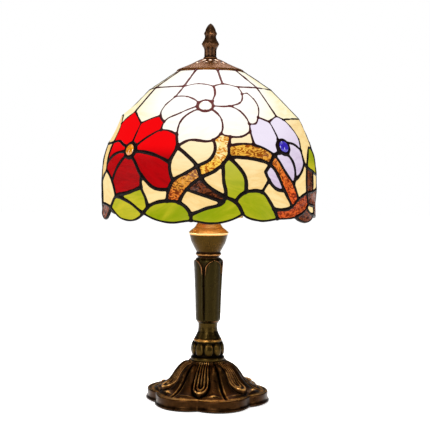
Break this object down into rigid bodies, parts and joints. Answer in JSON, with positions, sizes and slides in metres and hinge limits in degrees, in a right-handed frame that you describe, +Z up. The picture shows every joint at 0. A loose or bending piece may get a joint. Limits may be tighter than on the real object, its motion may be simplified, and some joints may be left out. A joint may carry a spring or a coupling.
{
  "type": "stained glass table lamp",
  "caption": "Table lamp with a dome shade of leaded opalescent glass in a flower, leaf and branch pattern, on a bronze column and lobed foot.",
  "frame": {"origin": "centre of the felt pad's underside, on the lamp's axis", "axes": "+Z up along the column, -Y towards the front of the flower pattern, +X to the viewer's right"},
  "size_m": [0.1986, 0.1984, 0.349],
  "materials": {
    "felt": "green-black pressed felt",
    "bronze": "antique bronze, dark in the hollows and gilt on the raised edges",
    "bronze_light": "copper-gold rubbed bronze",
    "iron": "rough cast",
    "steel": "zinc plated",
    "brass": "satin brass",
    "black_plastic": "moulded, fine grain",
    "wire_jacket": "extruded jacket",
    "card": "varnished insulating card",
    "porcelain": "glazed ceramic",
    "black_glass": "glossy black glass",
    "bulb_glass": "frosted white",
    "solder": "rounded solder bead with dark patina",
    "glass_cream": "cream opalescent, glossy",
    "glass_amber_cream": "beige opalescent with soft streaks",
    "glass_white": "white opalescent, glossy",
    "glass_red": "deep red, glossy",
    "glass_lavender": "lavender opalescent with white streaks",
    "glass_green": "yellow-green streaky opalescent",
    "glass_brown": "hammered amber to brown",
    "jewel_amber": "pressed cabochon",
    "jewel_blue": "pressed cabochon",
    "jewel_white": "pressed cabochon"
  },
  "bodies": {
    "root": {"felt_pad": "felt", "base_casting": "bronze", "base_weight": "iron", "base_washer": "steel", "base_nut": "brass", "cord_bushing": "black_plastic", "threaded_tube": "steel", "lower_stem": "bronze", "column": "bronze", "capital_cup": "bronze", "neck_flare": "bronze_light", "neck_nut": "brass", "lead_wires": "wire_jacket", "harp_saddle": "brass", "harp_bow": "brass", "socket_cap": "brass", "socket_shell": "brass", "socket_sleeve": "card", "socket_core": "porcelain", "screw_shell": "brass", "centre_contact": "brass", "terminal_screws": "brass"},
    "ferrule_left": {"harp_ferrule_left": "brass"},
    "ferrule_right": {"harp_ferrule_right": "brass"},
    "switch": {"switch_shaft": "brass", "switch_knob": "black_plastic"},
    "bulb": {"bulb_cap": "steel", "bulb_insulator": "black_glass", "bulb_tip": "steel", "bulb_globe": "bulb_glass", "bulb_mount": "bulb_glass"},
    "shade": {"swivel_stud": "brass", "shade_seams": "solder", "shade_ring": "brass", "glass_top_rows": "glass_cream", "glass_field": "glass_amber_cream", "glass_white_petals": "glass_white", "glass_red_petals": "glass_red", "glass_lavender_petals": "glass_lavender", "glass_leaves": "glass_green", "glass_branches": "glass_brown", "jewels_amber": "jewel_amber", "jewels_blue": "jewel_blue", "jewels_white": "jewel_white", "vent_cap": "bronze"},
    "finial": {"finial": "bronze"}
  },
  "joints": [
    {"name": "shade_swivel", "type": "hinge", "parent": "root", "child": "shade", "pos_m": [0, 0, 0.311], "axis": [0, 0, 1], "continuous": true},
    {"name": "finial_turn", "type": "hinge", "parent": "shade", "child": "finial", "pos_m": [0, 0, 0.32], "axis": [0, 0, 1], "continuous": true},
    {"name": "bulb_turn", "type": "hinge", "parent": "root", "child": "bulb", "pos_m": [0, 0, 0.215], "axis": [0, 0, 1], "continuous": true},
    {"name": "switch_turn", "type": "hinge", "parent": "root", "child": "switch", "pos_m": [0, 0.02, 0.198], "axis": [0, 1, 0], "continuous": true},
    {"name": "ferrule_left_lift", "type": "slide", "parent": "root", "child": "ferrule_left", "axis": [0, 0, 1], "range_m": [0, 0.01]},
    {"name": "ferrule_right_lift", "type": "slide", "parent": "root", "child": "ferrule_right", "axis": [0, 0, 1], "range_m": [0, 0.01]}
  ]
}
